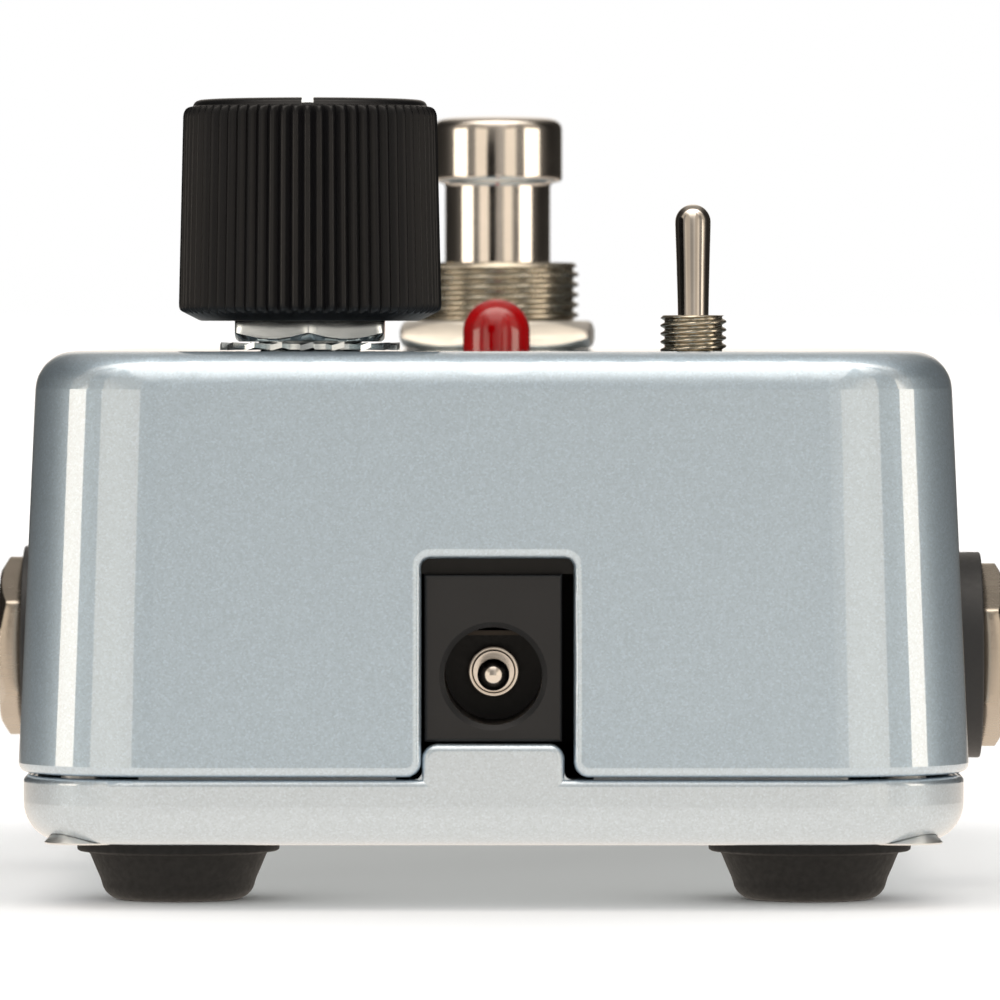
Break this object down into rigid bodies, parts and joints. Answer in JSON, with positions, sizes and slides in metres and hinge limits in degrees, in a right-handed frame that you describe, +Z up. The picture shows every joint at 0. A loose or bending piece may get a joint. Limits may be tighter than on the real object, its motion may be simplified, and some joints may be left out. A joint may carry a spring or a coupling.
{
  "type": "guitar effects pedal",
  "caption": "Compact die-cast guitar effects pedal with knob, mini toggle, indicator lamp, footswitch, quarter-inch jacks, power inlet and rubber feet.",
  "frame": {"origin": "centre of the casting's footprint, on the plane the rubber feet rest on", "axes": "+Z up out of the control panel, +Y towards the footswitch end, -Y towards the power inlet, +X towards the input jack side"},
  "size_m": [0.07, 0.1142, 0.0537],
  "materials": {
    "casting_paint": "pale silver-grey powder coat with fine metal flake",
    "lid_paint": "the same coat on the lid",
    "zinc_screw": "zinc plated",
    "feet_rubber": "matt black",
    "knob_plastic": "black, fine satin",
    "pointer_ink": "white line",
    "brass": "turned",
    "black_steel": "black oxide",
    "zinc_bright": "bright zinc",
    "aluminium": "turned",
    "black_plastic": "black moulded",
    "nickel": "bright nickel",
    "nickel_thread": "bright nickel, threaded",
    "nickel_nut": "bright nickel, flat faces",
    "phenolic": "brown laminate",
    "tinned": "tinned",
    "dark_contact": "tarnished",
    "silver_contact": "silver plated",
    "led_red": "diffused red resin",
    "blue_plastic": "blue moulded",
    "white_plastic": "natural nylon",
    "spring_steel": "spring wire",
    "pcb_mask": "black solder mask",
    "chip_epoxy": "epoxy",
    "chip_ceramic": "resistor film",
    "film_red": "dipped film",
    "can_sleeve": "shrink sleeve",
    "battery_sleeve": "printed sleeve without marks",
    "black_vinyl": "soft vinyl",
    "wire_red": "PVC",
    "wire_black": "PVC",
    "wire_white": "PVC",
    "washer_black": "black nylon"
  },
  "bodies": {
    "housing": {"battery_9v": "battery_sleeve", "battery_snap": "black_vinyl", "battery_wire_black": "wire_black", "battery_wire_red": "wire_red", "bottom_lid": "lid_paint", "dc_jack_body": "black_plastic", "dc_jack_contact": "dark_contact", "dc_jack_pin": "nickel", "enclosure_body": "casting_paint", "footswitch_bushing": "nickel_thread", "footswitch_case": "blue_plastic", "footswitch_frame": "nickel", "footswitch_inner_nut": "nickel_nut", "footswitch_lock_washer": "nickel", "footswitch_lugs": "tinned", "footswitch_nut": "nickel_nut", "footswitch_wires": "wire_white", "input_jack_body": "black_plastic", "input_jack_bushing": "nickel", "input_jack_contacts": "nickel", "input_jack_nut": "nickel_nut", "input_jack_washer": "washer_black", "led_leads": "tinned", "led_lens": "led_red", "lid_screws": "zinc_screw", "main_pcb": "pcb_mask", "output_jack_body": "black_plastic", "output_jack_bushing": "nickel", "output_jack_contacts": "nickel", "output_jack_nut": "nickel_nut", "output_jack_washer": "washer_black", "pcb_chips": "chip_epoxy", "pcb_electrolytics": "can_sleeve", "pcb_film_caps": "film_red", "pcb_resistors": "chip_ceramic", "pot_cover": "zinc_bright", "pot_housing": "zinc_bright", "pot_lock_washer": "zinc_bright", "pot_nut": "zinc_bright", "pot_terminals": "tinned", "pot_wafer": "phenolic", "rubber_feet": "feet_rubber", "toggle_bushing": "nickel", "toggle_case": "black_plastic", "toggle_frame": "nickel", "toggle_pivot_pin": "nickel", "toggle_terminals": "silver_contact"},
    "knob": {"knob_body": "knob_plastic", "knob_pointer": "pointer_ink", "knob_insert": "brass", "knob_set_screw": "black_steel", "pot_shaft": "aluminium", "pot_rotor": "black_plastic", "pot_wiper": "nickel"},
    "footswitch_plunger": {"footswitch_button": "nickel", "footswitch_pusher": "white_plastic", "footswitch_spring": "spring_steel"},
    "footswitch_contact": {"footswitch_rocker": "silver_contact"},
    "toggle": {"toggle_lever": "nickel"},
    "toggle_contact": {"toggle_rocker": "silver_contact"}
  },
  "joints": [
    {"name": "knob_turn", "type": "hinge", "parent": "housing", "child": "knob", "pos_m": [-0.0124, -0.0354, 0.045], "axis": [0, 0, 1], "range_deg": [-150, 150]},
    {"name": "footswitch_press", "type": "slide", "parent": "housing", "child": "footswitch_plunger", "axis": [0, 0, -1], "range_m": [0, 0.0026], "deforming": ["footswitch_spring"]},
    {"name": "footswitch_latch", "type": "hinge", "parent": "housing", "child": "footswitch_contact", "pos_m": [0, 0.02875, 0.0209], "axis": [0, 1, 0], "range_deg": [-16, 0]},
    {"name": "toggle_flip", "type": "hinge", "parent": "housing", "child": "toggle", "pos_m": [0.0134, -0.0354, 0.037], "axis": [1, 0, 0], "range_deg": [0, 25]},
    {"name": "toggle_contact_tilt", "type": "hinge", "parent": "housing", "child": "toggle_contact", "pos_m": [0.0134, -0.0354, 0.0272], "axis": [-1, 0, 0], "range_deg": [0, 16]}
  ],
  "couplings": [
    {"joint": "toggle_contact_tilt", "follows": "toggle_flip", "ratio": 0.64}
  ]
}
